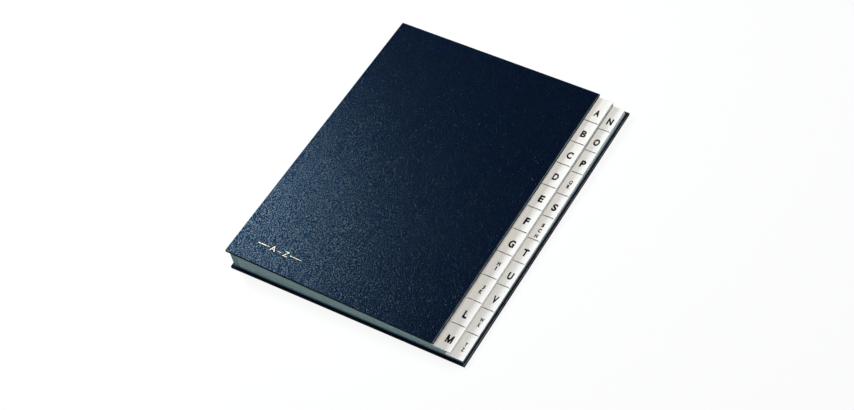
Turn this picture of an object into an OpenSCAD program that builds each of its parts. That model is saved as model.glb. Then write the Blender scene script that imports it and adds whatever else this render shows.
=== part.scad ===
// Alphabetical desk sorter: a book of stepped index leaves between two leatherette covers.
// The spine lies along Y at the low X side, the tabs step down along the high X side,
// and the letters run from the head (high Y) to the tail (low Y). All sizes are in millimetres.

/* [Covers] */
// Width of the front cover, from the spine edge to its free edge
front_w = 238; // [160:1:320]
// How far the front cover reaches past the leaves at the tail
front_tail_lip = 2.5; // [0:0.5:6]
// How far the front cover reaches past the leaves at the head
front_head_lip = 2; // [0:0.5:10]
// How far the back cover reaches past the right column of tabs
back_lip = 3.5; // [1:0.5:10]
// How far the back cover reaches past the leaves at the tail
back_tail_lip = 3.5; // [0:0.5:10]
// How far the back cover reaches past the leaves at the head
back_head_lip = 3.5; // [0:0.5:12]
// Thickness of the greyboard inside each cover
board_t = 2.2; // [1.2:0.1:4]
// Thickness of the leatherette wrapped round each board
leather_t = 0.35; // [0.2:0.05:0.8]
// Width of the leatherette turned in over the inside of each board
turn_in_w = 14; // [8:1:30]
// Width of the open mitre where two turn-ins meet at a corner
mitre_gap = 0.3; // [0.1:0.05:1]
// Radius of the covers' corners seen from above
corner_r = 0.6; // [0.6:0.1:4]
// Bevel along the covers' edges
edge_bevel = 0.4; // [0.1:0.05:0.6]
// Thickness of the lining paper inside each cover
lining_t = 0.3; // [0.1:0.05:0.6]
// Bare leatherette between a lining paper and the edge of its cover
lining_margin = 2.5; // [1.5:0.5:6]

/* [Index leaves] */
// Thickness of the card that the leaves are cut from
card_t = 0.4; // [0.2:0.05:1]
// Width of the spine margin that is folded back on each leaf
guard_w = 8; // [4:0.5:20]
// Thickness of the glue line inside that fold
guard_glue_t = 0.13; // [0.02:0.01:0.3]
// Open gap between neighbouring leaves where they lie closest
leaf_gap = 0.03; // [0.01:0.01:0.3]
// Open gap between the leaves and what lies above and below them
block_gap = 0.05; // [0.02:0.01:0.5]

/* [Tabs] */
// Height of one tab along the fore edge
tab_l = 30; // [15:1:45]
// Extra length of the first tab of each column, at the head
head_tab_extra = 3; // [0:0.5:10]
// Width of the left column of tabs beyond the front cover
tab_w_left = 15.5; // [10:0.5:25]
// Width of the right column of tabs beyond the left column
tab_w_right = 13; // [10:0.5:25]
// How far a tab runs in under whatever covers it
tab_tuck = 6; // [2:0.5:9]
// Thickness of the laminated label on a tab
label_t = 0.08; // [0.04:0.01:0.2]
// Thickness of the adhesive under a label
label_glue_t = 0.01; // [0.005:0.005:0.05]
// Bare card left between a label and the step cut
label_inset = 0.2; // [0.2:0.1:2]

/* [Spine] */
// How far the spine cloth lies in from the covers' spine edges
spine_inset = 2.5; // [1:0.5:6]
// Thickness of the spine cloth
spine_t = 0.35; // [0.2:0.05:0.8]
// Width of the flange of spine cloth glued inside each cover
flange_w = 11.5; // [6:0.5:25]
// Open gap between the spine cloth and the leaves
spine_gap = 0.25; // [0.05:0.05:0.6]
// Open seam between the two halves of the spine cloth
seam_gap = 0.1; // [0.05:0.05:0.5]
// Distance of the hinge line outside the covers' spine edges
hinge_offset = 0.3; // [0.1:0.1:2]

/* [Hidden] */
LEFT_TABS = ["a", "b", "c", "d", "e", "f", "g", "hi", "jk", "l", "m"];
RIGHT_TABS = ["n", "o", "p", "qr", "s", "sch", "t", "u", "v", "wx", "yz"];
LEAVES = concat(LEFT_TABS, RIGHT_TABS);
COVER_NODES = [
    "back_board", "back_leatherette", "back_lining", "spine_cloth_lower",
    "front_board", "front_leatherette", "front_lining", "spine_cloth_upper"
];
DIVIDER_NODES = [for (name = LEAVES) str("divider_", name)];
TAB_NODES = [for (name = LEAVES) str("tab_", name)];

rows = len(LEFT_TABS);
leaf_count = len(LEAVES);
last_leaf = leaf_count - 1;
slack = 1;
corner_sides = 48;

// Places along Y, from the tail edge of the back cover
leaf_l = rows * tab_l + head_tab_extra;
leaf_tail = back_tail_lip;
leaf_head = leaf_tail + leaf_l;
front_tail = leaf_tail - front_tail_lip;
front_l = leaf_l + front_tail_lip + front_head_lip;
back_l = leaf_l + back_tail_lip + back_head_lip;

// Places along X, from the spine edge of the back cover
leaf_x0 = spine_inset + spine_t + spine_gap;
guard_x1 = leaf_x0 + guard_w;
flange_x1 = spine_inset + flange_w;
left_edge = front_w + tab_w_left;
right_edge = left_edge + tab_w_right;
back_w = right_edge + back_lip;

// Thicknesses
cover_t = board_t + 2 * leather_t;
lined_t = cover_t + lining_t;
guard_t = 2 * card_t + guard_glue_t;
guard_pitch = guard_t + leaf_gap;
tab_pitch = card_t + label_glue_t + label_t + leaf_gap;

// The leaves fan evenly: the folded margins set the pitch at the spine and the labels set it at the tabs
function pitch_at(x) = tab_pitch + (guard_pitch - tab_pitch) * (right_edge - x) / (right_edge - guard_x1);
// Room for the flange of spine cloth, which tapers to nothing at the tabs
function flange_room(x) = block_gap + spine_t * (right_edge - x) / (right_edge - flange_x1);
// Underside of a leaf, where leaf 0 is the first letter and lies on top
function leaf_z(leaf, x) = lined_t + flange_room(x) + (last_leaf - leaf) * pitch_at(x);
// Inside face of the closed front cover
function front_z(x) = leaf_z(-1, x) + flange_room(x);

front_tilt = atan((front_z(0) - front_z(front_w)) / front_w);
body_h = front_z(0) + lined_t * cos(front_tilt);
hinge_z = body_h / 2;

function in_left_column(leaf) = leaf < rows;
function row_of(leaf) = leaf % rows;
function tab_edge(leaf) = in_left_column(leaf) ? left_edge : right_edge;
function step_x(leaf) = (in_left_column(leaf) ? front_w : left_edge) - tab_tuck;
function step_l(leaf) = (rows - 1 - row_of(leaf)) * tab_l;

NAVY = [0.06, 0.11, 0.21];
NIGHT = [0.04, 0.07, 0.12];
GREYBOARD = [0.56, 0.53, 0.48];
LINING = [0.24, 0.30, 0.35];
CARD = [0.36, 0.43, 0.45];
LABEL = [0.94, 0.93, 0.90];

// Moves from the back cover's spine and tail corner to the middle of its underside
module centred() {
    translate([-back_w / 2, -back_l / 2, 0]) children();
}

// Runs a profile drawn in X and Z along Y
module along_y(from, to) {
    translate([0, to, 0]) rotate([90, 0, 0]) linear_extrude(to - from) children();
}

// Runs a profile drawn in Y and Z along X
module along_x(length) {
    rotate([90, 0, 90]) linear_extrude(length) children();
}

// Lays a cover made outside face down onto the closed book, outside face up
module on_top() {
    translate([0, front_tail, front_z(0)])
        rotate([0, front_tilt, 0])
            translate([0, 0, lined_t])
                mirror([0, 0, 1])
                    children();
}

module rounded_plate(w, l, t, r) {
    translate([r, 0, 0]) cube([w - 2 * r, l, t]);
    translate([0, r, 0]) cube([w, l - 2 * r, t]);
    for (x = [r, w - r], y = [r, l - r])
        translate([x, y, 0]) cylinder(r = r, h = t, $fn = corner_sides);
}

module bevelled_outline(w, t, b) {
    polygon([[b, 0], [w - b, 0], [w, b], [w, t - b], [w - b, t], [b, t], [0, t - b], [0, b]]);
}

module cover_board(w, l) {
    translate([leather_t, leather_t, leather_t])
        cube([w - 2 * leather_t, l - 2 * leather_t, board_t]);
}

// Leatherette round a board: outside face, four edges and mitred turn-ins
module cover_wrap(w, l) {
    difference() {
        intersection() {
            rounded_plate(w, l, cover_t, corner_r);
            along_y(0, l) bevelled_outline(w, cover_t, edge_bevel);
            along_x(w) bevelled_outline(l, cover_t, edge_bevel);
        }
        cover_board(w, l);
        translate([turn_in_w, turn_in_w, board_t])
            cube([w - 2 * turn_in_w, l - 2 * turn_in_w, cover_t]);
        for (x = [0, 1], y = [0, 1])
            translate([x * w, y * l, board_t + leather_t])
                mirror([x, 0, 0])
                    mirror([0, y, 0])
                        rotate([0, 0, 45])
                            translate([corner_r, -mitre_gap / 2, 0])
                                cube([turn_in_w * sqrt(2), mitre_gap, cover_t]);
    }
}

// Lining paper: it lies on the turn-ins and steps down onto the bare board between them
module cover_lining(w, l) {
    window_w = w - 2 * turn_in_w;
    window_l = l - 2 * turn_in_w;
    difference() {
        union() {
            translate([lining_margin, lining_margin, cover_t])
                cube([w - 2 * lining_margin, l - 2 * lining_margin, lining_t]);
            translate([turn_in_w, turn_in_w, cover_t - leather_t])
                cube([window_w, window_l, lined_t - cover_t + leather_t]);
        }
        translate([turn_in_w + lining_t, turn_in_w + lining_t, cover_t - leather_t + lining_t])
            cube([window_w - 2 * lining_t, window_l - 2 * lining_t, cover_t]);
    }
}

module back_board() {
    color(GREYBOARD) centred() cover_board(back_w, back_l);
}

module back_leatherette() {
    color(NAVY) centred() cover_wrap(back_w, back_l);
}

module back_lining() {
    color(LINING) centred() cover_lining(back_w, back_l);
}

module front_board() {
    color(GREYBOARD) centred() on_top() cover_board(front_w, front_l);
}

module front_leatherette() {
    color(NAVY) centred() on_top() cover_wrap(front_w, front_l);
}

module front_lining() {
    color(LINING) centred() on_top() cover_lining(front_w, front_l);
}

// Lower half of the spine cloth: a flange on the back lining and a web up to the seam
module spine_cloth_lower() {
    web_x1 = spine_inset + spine_t;
    web_top = hinge_z - seam_gap / 2;
    color(NIGHT) centred() along_y(leaf_tail, leaf_head) polygon([
        [spine_inset, lined_t], [flange_x1, lined_t], [flange_x1, lined_t + spine_t],
        [web_x1, lined_t + spine_t], [web_x1, web_top], [spine_inset, web_top]
    ]);
}

// Upper half of the spine cloth: a web down to the seam and a flange on the front lining
module spine_cloth_upper() {
    web_x1 = spine_inset + spine_t;
    web_bottom = hinge_z + seam_gap / 2;
    color(NIGHT) centred() along_y(leaf_tail, leaf_head) polygon([
        [spine_inset, front_z(spine_inset)], [spine_inset, web_bottom], [web_x1, web_bottom],
        [web_x1, front_z(web_x1) - spine_t], [flange_x1, front_z(flange_x1) - spine_t],
        [flange_x1, front_z(flange_x1)]
    ]);
}

// One index leaf: flat card with a folded spine margin, step-cut below its own tab
module divider(leaf) {
    edge = tab_edge(leaf);
    color(CARD) centred() difference() {
        along_y(leaf_tail, leaf_head) polygon([
            [leaf_x0, leaf_z(leaf, leaf_x0)], [edge, leaf_z(leaf, edge)],
            [edge, leaf_z(leaf, edge) + card_t], [guard_x1, leaf_z(leaf, guard_x1) + card_t],
            [guard_x1, leaf_z(leaf, guard_x1) + guard_t], [leaf_x0, leaf_z(leaf, leaf_x0) + guard_t]
        ]);
        if (step_l(leaf) > 0)
            translate([step_x(leaf), leaf_tail - slack, 0])
                cube([edge - step_x(leaf) + slack, step_l(leaf) + slack, body_h]);
    }
}

// White label laminated onto the leaf's tab and onto the strip of card above it
module tab(leaf) {
    inner = step_x(leaf);
    edge = tab_edge(leaf);
    low_inner = leaf_z(leaf, inner) + card_t + label_glue_t;
    low_edge = leaf_z(leaf, edge) + card_t + label_glue_t;
    color(LABEL) centred() along_y(leaf_tail + step_l(leaf) + label_inset, leaf_head) polygon([
        [inner, low_inner], [edge, low_edge], [edge, low_edge + label_t], [inner, low_inner + label_t]
    ]);
}

back_board();
back_leatherette();
back_lining();
spine_cloth_lower();
front_board();
front_leatherette();
front_lining();
spine_cloth_upper();
for (leaf = [0:last_leaf]) {
    divider(leaf);
    tab(leaf);
}
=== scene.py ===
"""Looks of an alphabetical desk sorter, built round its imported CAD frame.

The sorter is a book of stepped index leaves between two leatherette covers. Sizes are in millimetres,
measured from the back cover's spine and tail corner, and every finished mesh is put into the frame in metres.
"""

import logging
import math
from dataclasses import dataclass, field, replace
from enum import Enum
from typing import Callable, Iterator, Optional, Union

import bmesh
import bpy
from mathutils import Matrix, Vector


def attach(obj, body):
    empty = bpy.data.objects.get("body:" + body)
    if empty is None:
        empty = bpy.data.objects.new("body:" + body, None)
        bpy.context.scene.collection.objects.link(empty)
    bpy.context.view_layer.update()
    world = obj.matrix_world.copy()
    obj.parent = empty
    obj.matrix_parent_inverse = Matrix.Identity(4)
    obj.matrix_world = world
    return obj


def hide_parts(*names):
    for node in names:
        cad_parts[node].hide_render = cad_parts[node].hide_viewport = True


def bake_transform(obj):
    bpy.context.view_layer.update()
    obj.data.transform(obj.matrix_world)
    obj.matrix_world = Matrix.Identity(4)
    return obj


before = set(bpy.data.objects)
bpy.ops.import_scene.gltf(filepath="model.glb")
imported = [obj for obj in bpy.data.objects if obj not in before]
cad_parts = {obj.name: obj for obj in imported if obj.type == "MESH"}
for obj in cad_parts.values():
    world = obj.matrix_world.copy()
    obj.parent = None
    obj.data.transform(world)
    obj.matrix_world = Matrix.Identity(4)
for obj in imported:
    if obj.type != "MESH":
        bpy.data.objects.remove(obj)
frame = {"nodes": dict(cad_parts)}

LOG = logging.getLogger("desk_sorter")
MM = 0.001  # metres in a millimetre
TOUCH = 1e-4  # distance in millimetres at which two points are one
LEVEL = 0.9  # least Z of the normal of a face that lies flat
MITRE = math.sqrt(0.5)  # X and Y of a direction at 45 degrees

Point = tuple[float, float, float]
Colour = tuple[float, float, float]
Piece = bpy.types.Object
Socket = bpy.types.NodeSocket
Sockets = dict[str, Socket]
Outputs = bpy.types.bpy_prop_collection
Feed = Union[Socket, float, Colour, Vector, tuple]


class Column(Enum):
    """The two columns of index tabs."""

    LEFT = "left"
    RIGHT = "right"


class Cover(Enum):
    """The two hard covers, by the name of the CAD body that each one is."""

    BACK = "back_cover"
    FRONT = "front_cover"


class Element(Enum):
    """What is picked in edit mode, by the name of its list in the mesh."""

    VERT = "verts"
    EDGE = "edges"
    FACE = "faces"


class LampKind(Enum):
    """The two kinds of lamp, by their names in Blender."""

    SOFTBOX = "AREA"
    FILL = "SUN"


@dataclass(frozen=True)
class Plan:
    """The sorter's driving sizes and the places that follow from them, in millimetres."""

    left_letters: tuple[str, ...] = ("A", "B", "C", "D", "E", "F", "G", "HI", "JK", "L", "M")
    right_letters: tuple[str, ...] = ("N", "O", "P", "QR", "S", "SCH", "T", "U", "V", "WX", "YZ")
    back_w: float = 270.0
    back_l: float = 340.0
    front_w: float = 238.0
    front_l: float = 337.5
    front_tail: float = 1.0
    cover_t: float = 2.9
    leather_t: float = 0.35
    lining_t: float = 0.3
    turn_in_w: float = 14.0
    leaf_tail: float = 3.5
    leaf_head: float = 336.5
    leaf_x0: float = 3.1
    guard_x1: float = 11.1
    guard_t: float = 0.93
    label_top: float = 0.49
    left_edge: float = 253.5
    right_edge: float = 266.5
    tab_l: float = 30.0
    label_inset: float = 0.2
    spine_x: float = 2.5
    spine_t: float = 0.35
    flange_x1: float = 14.0
    tab_pitch: float = 0.52
    guard_pitch: float = 0.96
    block_gap: float = 0.05

    @property
    def lined_t(self) -> float:
        """Thickness of a cover with its lining paper."""
        return self.cover_t + self.lining_t

    @property
    def letters(self) -> tuple[str, ...]:
        """Every leaf's letters, from the top leaf down."""
        return self.left_letters + self.right_letters

    @property
    def rows(self) -> int:
        """Tabs in one column."""
        return len(self.left_letters)

    @property
    def tilt(self) -> float:
        """Slope of the closed front cover, in radians."""
        return math.atan((self.front_z(0.0) - self.front_z(self.front_w)) / self.front_w)

    def pitch(self, x: float) -> float:
        """Height of one leaf in the stack at a place along X."""
        fan = (self.guard_pitch - self.tab_pitch) / (self.right_edge - self.guard_x1)
        return self.tab_pitch + fan * (self.right_edge - x)

    def flange_room(self, x: float) -> float:
        """Room for the spine cloth's flange, which tapers to nothing at the tabs."""
        return self.block_gap + self.spine_t * (self.right_edge - x) / (self.right_edge - self.flange_x1)

    def leaf_z(self, leaf: int, x: float) -> float:
        """Underside of a leaf, where leaf 0 lies on top."""
        return self.lined_t + self.flange_room(x) + (len(self.letters) - 1 - leaf) * self.pitch(x)

    def front_z(self, x: float) -> float:
        """Inside face of the closed front cover."""
        return self.leaf_z(-1, x) + self.flange_room(x)

    def column(self, leaf: int) -> Column:
        """The column that a leaf's tab stands in."""
        return Column.LEFT if leaf < self.rows else Column.RIGHT

    def tab_span(self, leaf: int) -> tuple[float, float]:
        """Finds the ends of a tab as it is seen past what covers it.

        Args:
            leaf: the tab's leaf.

        Returns:
            Its left and its right end along X.
        """
        if self.column(leaf) is Column.LEFT:
            return self.front_w, self.left_edge
        return self.left_edge, self.right_edge

    def tab_tail(self, leaf: int) -> float:
        """Lower end of a leaf's own tab along Y."""
        return self.leaf_tail + (self.rows - 1 - leaf % self.rows) * self.tab_l

    def label_z(self, leaf: int, x: float) -> float:
        """Top of a leaf's label."""
        return self.leaf_z(leaf, x) + self.label_top


PLAN = Plan()


def leaf_body(leaf: int) -> str:
    """Name of the CAD body that a leaf is."""
    return f"leaf_{PLAN.letters[leaf].lower()}"


def frame_x(x: float) -> float:
    """A place along X in the frame's metres."""
    return (x - PLAN.back_w / 2) * MM


def frame_y(y: float) -> float:
    """A place along Y in the frame's metres."""
    return (y - PLAN.back_l / 2) * MM


def into_frame(turn: Optional[Matrix] = None, place: Point = (0.0, 0.0, 0.0)) -> Matrix:
    """Matrix from a piece's own millimetres to the frame's metres.

    Args:
        turn: rotation of the piece about its own origin.
        place: where that origin lies, from the back cover's spine and tail corner.

    Returns:
        The whole move, with the back cover's middle at the frame's origin.
    """
    corner = Vector((-PLAN.back_w / 2, -PLAN.back_l / 2, 0.0))
    return Matrix.Scale(MM, 4) @ Matrix.Translation(corner + Vector(place)) @ (turn or Matrix.Identity(4))


def only(obj: Piece) -> None:
    """Makes one object the only selected one, and the active one.

    Args:
        obj: the object.
    """
    bpy.ops.object.select_all(action="DESELECT")
    obj.select_set(True)
    bpy.context.view_layer.objects.active = obj


def settle(obj: Piece, move: Matrix) -> None:
    """Puts a piece's place into its mesh, so that its object sits at the origin.

    Args:
        obj: a mesh object.
        move: matrix from the mesh's own millimetres to the frame.
    """
    only(obj)
    obj.matrix_world = move
    bpy.ops.object.transform_apply(location=True, rotation=True, scale=True)


def start_box(name: str, low: Point, high: Point) -> Piece:
    """Adds a cube primitive as the start of a piece.

    Args:
        name: the piece's name.
        low: lowest corner.
        high: highest corner.

    Returns:
        The new object, at its size and place.
    """
    bpy.ops.object.select_all(action="DESELECT")
    bpy.ops.mesh.primitive_cube_add(size=1.0)
    obj = bpy.context.active_object
    obj.name = obj.data.name = name
    lo, hi = Vector(low), Vector(high)
    obj.location, obj.scale = (lo + hi) / 2, hi - lo
    bpy.ops.object.transform_apply(location=True, rotation=True, scale=True)
    return obj


class Bench:
    """An edit-mode session on one object, with picking by place or normal."""

    def __init__(self, obj: Piece) -> None:
        """Keeps the object to edit."""
        self.obj = obj

    def __enter__(self) -> "Bench":
        """Opens edit mode on the object alone.

        Returns:
            The session.
        """
        only(self.obj)
        bpy.ops.object.mode_set(mode="EDIT")
        return self

    def __exit__(self, *_: object) -> None:
        """Goes back to object mode."""
        bpy.ops.object.mode_set(mode="OBJECT")

    def _pick(self, kind: Element, rule: Callable[..., bool]) -> None:
        """Selects what a rule accepts and nothing else.

        Args:
            kind: what is picked.
            rule: takes a bmesh element and says whether it is wanted.
        """
        bpy.ops.mesh.select_mode(type=kind.name)
        bpy.ops.mesh.select_all(action="DESELECT")
        mesh = bmesh.from_edit_mesh(self.obj.data)
        for element in getattr(mesh, kind.value):
            if rule(element):
                element.select_set(True)
        mesh.select_flush_mode()
        bmesh.update_edit_mesh(self.obj.data)

    def faces(self, rule: Callable[[bmesh.types.BMFace], bool]) -> None:
        """Picks faces by a rule."""
        self._pick(Element.FACE, rule)

    def edges(self, rule: Callable[[bmesh.types.BMEdge], bool]) -> None:
        """Picks edges by a rule."""
        self._pick(Element.EDGE, rule)

    def verts(self, rule: Callable[[bmesh.types.BMVert], bool]) -> None:
        """Picks vertices by a rule."""
        self._pick(Element.VERT, rule)

    def cut(self, place: Point, normal: Point) -> None:
        """Bisects what is picked with a plane."""
        bpy.ops.mesh.bisect(plane_co=place, plane_no=normal, threshold=TOUCH / 10)


def is_upright(edge: bmesh.types.BMEdge) -> bool:
    """Whether an edge runs up or down."""
    return abs(edge.verts[0].co.z - edge.verts[1].co.z) > TOUCH


def rounded(obj: Piece, degrees: float = 40.0) -> None:
    """Shades a piece smooth, with its sharper edges kept."""
    only(obj)
    bpy.ops.object.shade_smooth_by_angle(angle=math.radians(degrees))


def clean_normals(obj: Piece, merge: float = TOUCH) -> None:
    """Merges doubles and turns every face outwards.

    Args:
        obj: a closed mesh object.
        merge: distance at which vertices become one, or 0 where none are to be merged.
    """
    with Bench(obj):
        bpy.ops.mesh.select_all(action="SELECT")
        if merge:
            bpy.ops.mesh.remove_doubles(threshold=merge)
        bpy.ops.mesh.normals_make_consistent(inside=False)


def join_pieces(parts: list[Piece]) -> Piece:
    """Joins pieces into the first of them.

    Args:
        parts: mesh objects.

    Returns:
        The first one, with the others in it.
    """
    bpy.ops.object.select_all(action="DESELECT")
    for part in parts:
        part.select_set(True)
    bpy.context.view_layer.objects.active = parts[0]
    if len(parts) > 1:
        bpy.ops.object.join()
    return parts[0]


def flat_bar(x0: float, x1: float, y: float, wide: float, thick: float, ease: float = 0.3) -> Piece:
    """Makes a thin printed line with eased ends, flat in plan.

    Args:
        x0: left end.
        x1: right end.
        y: lower edge.
        wide: width of the line.
        thick: half of its height.
        ease: share of the width by which its corners are rounded.

    Returns:
        The line.
    """
    obj = start_box("bar", (x0, y, -thick), (x1, y + wide, thick))
    with Bench(obj) as bench:
        bench.edges(is_upright)
        bpy.ops.mesh.bevel(offset=wide * ease, segments=2, affect="EDGES")
    return obj


def copy_piece(obj: Piece, name: str) -> Piece:
    """Copies a modelled piece with a mesh of its own.

    Args:
        obj: the piece to copy.
        name: the copy's name.

    Returns:
        The copy.
    """
    twin = obj.copy()
    twin.data = obj.data.copy()
    twin.name = twin.data.name = name
    bpy.context.scene.collection.objects.link(twin)
    return twin


class Graph:
    """Shorthand for the nodes and links of one tree."""

    def __init__(self, tree: bpy.types.NodeTree) -> None:
        """Keeps the tree to build in."""
        self.tree = tree

    @classmethod
    def fresh(cls, owner: Union[bpy.types.Material, bpy.types.World]) -> "Graph":
        """Empties the nodes of a material or a world.

        Args:
            owner: what the nodes belong to.

        Returns:
            Its empty tree, to build in.
        """
        owner.use_nodes = True
        owner.node_tree.nodes.clear()
        return cls(owner.node_tree)

    def node(self, kind: str, **settings: object) -> bpy.types.Node:
        """Adds a node.

        Args:
            kind: the node's type name, without the ShaderNode prefix.
            settings: properties of the node.

        Returns:
            The node.
        """
        made = self.tree.nodes.new(f"ShaderNode{kind}")
        for key, value in settings.items():
            setattr(made, key, value)
        return made

    def feed(self, node: bpy.types.Node, **inputs: Feed) -> bpy.types.Node:
        """Links or sets inputs by name, with underscores for spaces.

        Args:
            node: the node to feed.
            inputs: sockets to link from, or plain values to set.

        Returns:
            The same node.
        """
        for key, value in inputs.items():
            self.join(value, node.inputs[key.replace("_", " ")])
        return node

    def join(self, value: Feed, socket: Socket) -> None:
        """Links a socket, or sets its value where a plain one is given.

        Args:
            value: a socket to link from, or a plain value.
            socket: the input that takes it.
        """
        if isinstance(value, Socket):
            self.tree.links.new(value, socket)
        elif socket.type == "RGBA":
            socket.default_value = (*value, 1.0)
        else:
            socket.default_value = value

    def _values(self, made: bpy.types.Node, *values: Feed) -> Socket:
        """Fills a node's inputs in order.

        Args:
            made: the node.
            values: what its first inputs take.

        Returns:
            The node's first output.
        """
        for value, socket in zip(values, made.inputs):
            self.join(value, socket)
        return made.outputs[0]

    def math(self, operation: str, *values: Feed) -> Socket:
        """Adds a Math node and returns its value."""
        return self._values(self.node("Math", operation=operation), *values)

    def vector(self, operation: str, *values: Feed) -> Socket:
        """Adds a Vector Math node and returns its vector."""
        return self._values(self.node("VectorMath", operation=operation), *values)

    def sized(self, place: Feed, size: Feed) -> Socket:
        """Measures a place in units of a size."""
        made = self.node("VectorMath", operation="SCALE")
        return self.feed(made, Vector=place, Scale=self.math("DIVIDE", 1.0, size)).outputs[0]

    def axes(self, vector: Feed) -> Outputs:
        """Parts a vector into its X, Y and Z."""
        return self.feed(self.node("SeparateXYZ"), Vector=vector).outputs

    def ramp(self, value: Feed, low: Feed, high: Feed, to_low: float = 0.0, to_high: float = 1.0) -> Socket:
        """Maps a value smoothly from one range to another.

        Args:
            value: what is mapped.
            low: start of the range that is read.
            high: end of the range that is read.
            to_low: result at the start.
            to_high: result at the end.

        Returns:
            The mapped value.
        """
        made = self.node("MapRange", interpolation_type="SMOOTHSTEP")
        return self._values(made, value, low, high, to_low, to_high)

    def mix(self, factor: Feed, first: Feed, second: Feed) -> Socket:
        """Mixes two colours.

        Args:
            factor: share of the second colour.
            first: the colour at 0.
            second: the colour at 1.

        Returns:
            The mixed colour.
        """
        made = self.node("Mix", data_type="RGBA")
        for socket, value in ((made.inputs[0], factor), (made.inputs[6], first), (made.inputs[7], second)):
            self.join(value, socket)
        return made.outputs[2]

    def noise(self, place: Feed, scale: float, detail: float = 2.0, roughness: float = 0.5) -> Socket:
        """Adds a noise texture.

        Args:
            place: where it is read.
            scale: how fine it is.
            detail: how many finer layers it has.
            roughness: how strong those layers are.

        Returns:
            The noise, from 0 to 1.
        """
        made = self.node("TexNoise")
        self.feed(made, Vector=place, Scale=scale, Detail=detail, Roughness=roughness)
        return made.outputs[0]


@dataclass(frozen=True)
class Effect:
    """A shader node group that several finishes share."""

    name: str
    inputs: tuple[tuple[str, str], ...]
    outputs: tuple[str, ...]

    def tree(self) -> bpy.types.NodeTree:
        """Finds the group, or builds it the first time.

        Returns:
            The group's node tree.
        """
        found = bpy.data.node_groups.get(self.name)
        if found:
            return found
        tree = bpy.data.node_groups.new(self.name, "ShaderNodeTree")
        for label, kind in self.inputs:
            tree.interface.new_socket(label, in_out="INPUT", socket_type=f"NodeSocket{kind}")
        for label in self.outputs:
            tree.interface.new_socket(label, in_out="OUTPUT", socket_type="NodeSocketFloat")
        graph = Graph(tree)
        inside = tree.nodes.new("NodeGroupInput").outputs
        results = self.wire(graph, {label: inside[label] for label, _ in self.inputs})
        end = tree.nodes.new("NodeGroupOutput")
        for label in self.outputs:
            graph.join(results[label], end.inputs[label])
        return tree

    def wire(self, graph: Graph, given: Sockets) -> Sockets:
        """Builds the group's nodes; each effect has its own."""
        raise NotImplementedError(self.name)

    def place(self, graph: Graph, **inputs: Feed) -> Outputs:
        """Places the group in a material.

        Args:
            graph: the material's nodes.
            inputs: the group's own values there.

        Returns:
            The placed group's outputs.
        """
        made = graph.node("Group", node_tree=self.tree())
        return graph.feed(made, **inputs).outputs


class LeatherGrain(Effect):
    """Pebbled leather grain: domed cells that lie unevenly, with creases between them and a fine tooth."""

    WANDER = (0.9, 0.9, 0.9)
    WANDER_SCALE = 0.8
    SOFTNESS = 0.25
    CREASE_W = 0.16
    LIE_SCALE = 0.85
    TOOTH_SCALE = 4.0
    TONE_SCALE = 24.0
    DOME, CREASE, LIE, TOOTH = -0.25, -0.05, 3.0, 0.05
    GLOSS_OFFSET = (31.7, 12.9, 7.3)
    GLOSS_RANGE = (0.515, 0.555)

    def wire(self, graph: Graph, given: Sockets) -> Sockets:
        """Builds the grain from two cell patterns and five noises.

        Args:
            graph: the group's nodes.
            given: the group's inputs by name.

        Returns:
            The group's outputs by name.
        """
        place = graph.sized(given["Vector"], given["Cell"])
        wander = graph.node("TexNoise")
        graph.feed(wander, Vector=place, Scale=self.WANDER_SCALE, Detail=1.0)
        shift = graph.vector("SUBTRACT", wander.outputs["Color"], (0.5, 0.5, 0.5))
        place = graph.vector("MULTIPLY_ADD", shift, self.WANDER, place)
        pebble = graph.node("TexVoronoi", feature="SMOOTH_F1")
        graph.feed(pebble, Vector=place, Scale=1.0, Smoothness=self.SOFTNESS)
        border = graph.node("TexVoronoi", feature="DISTANCE_TO_EDGE")
        graph.feed(border, Vector=place, Scale=1.0)
        dome = graph.math("MULTIPLY", pebble.outputs["Distance"], pebble.outputs["Distance"])
        crease = graph.ramp(border.outputs["Distance"], 0.0, self.CREASE_W, 1.0, 0.0)
        lie = graph.noise(place, self.LIE_SCALE, 1.0)
        tooth = graph.noise(place, self.TOOTH_SCALE)
        height: Feed = 1.0
        for part, share in ((dome, self.DOME), (crease, self.CREASE), (lie, self.LIE), (tooth, self.TOOTH)):
            height = graph.math("MULTIPLY_ADD", part, share, height)
        tone = graph.noise(given["Vector"], self.TONE_SCALE, 3.0)
        spots = graph.noise(graph.vector("ADD", place, self.GLOSS_OFFSET), self.LIE_SCALE, 1.0)
        gloss = graph.ramp(spots, *self.GLOSS_RANGE)
        return {"Height": height, "Crease": crease, "Tone": tone, "Gloss": gloss}


class EdgeWear(Effect):
    """Rubbing along the border of a flat rectangle, broken up as hands leave it, which also stands as a
    painted highlight along that border.
    """

    FULL_AT = 0.55
    PATCH_SCALE = 160.0
    PATCH_RANGE = (0.3, 0.7, 0.35, 1.0)

    def wire(self, graph: Graph, given: Sockets) -> Sockets:
        """Measures how near a point is to the rectangle's border and breaks that up with noise.

        Args:
            graph: the group's nodes.
            given: the group's inputs by name.

        Returns:
            The group's outputs by name.
        """
        offset = graph.vector("ABSOLUTE", graph.vector("SUBTRACT", given["Vector"], given["Centre"]))
        past = graph.axes(graph.vector("SUBTRACT", offset, given["Half"]))
        inner, full = (graph.math("MULTIPLY", given["Reach"], -share) for share in (1.0, self.FULL_AT))
        near = graph.ramp(graph.math("MAXIMUM", past["X"], past["Y"]), inner, full)
        patchy = graph.ramp(graph.noise(given["Vector"], self.PATCH_SCALE, 4.0, 0.6), *self.PATCH_RANGE)
        return {"Wear": graph.math("MULTIPLY", near, patchy)}


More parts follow.
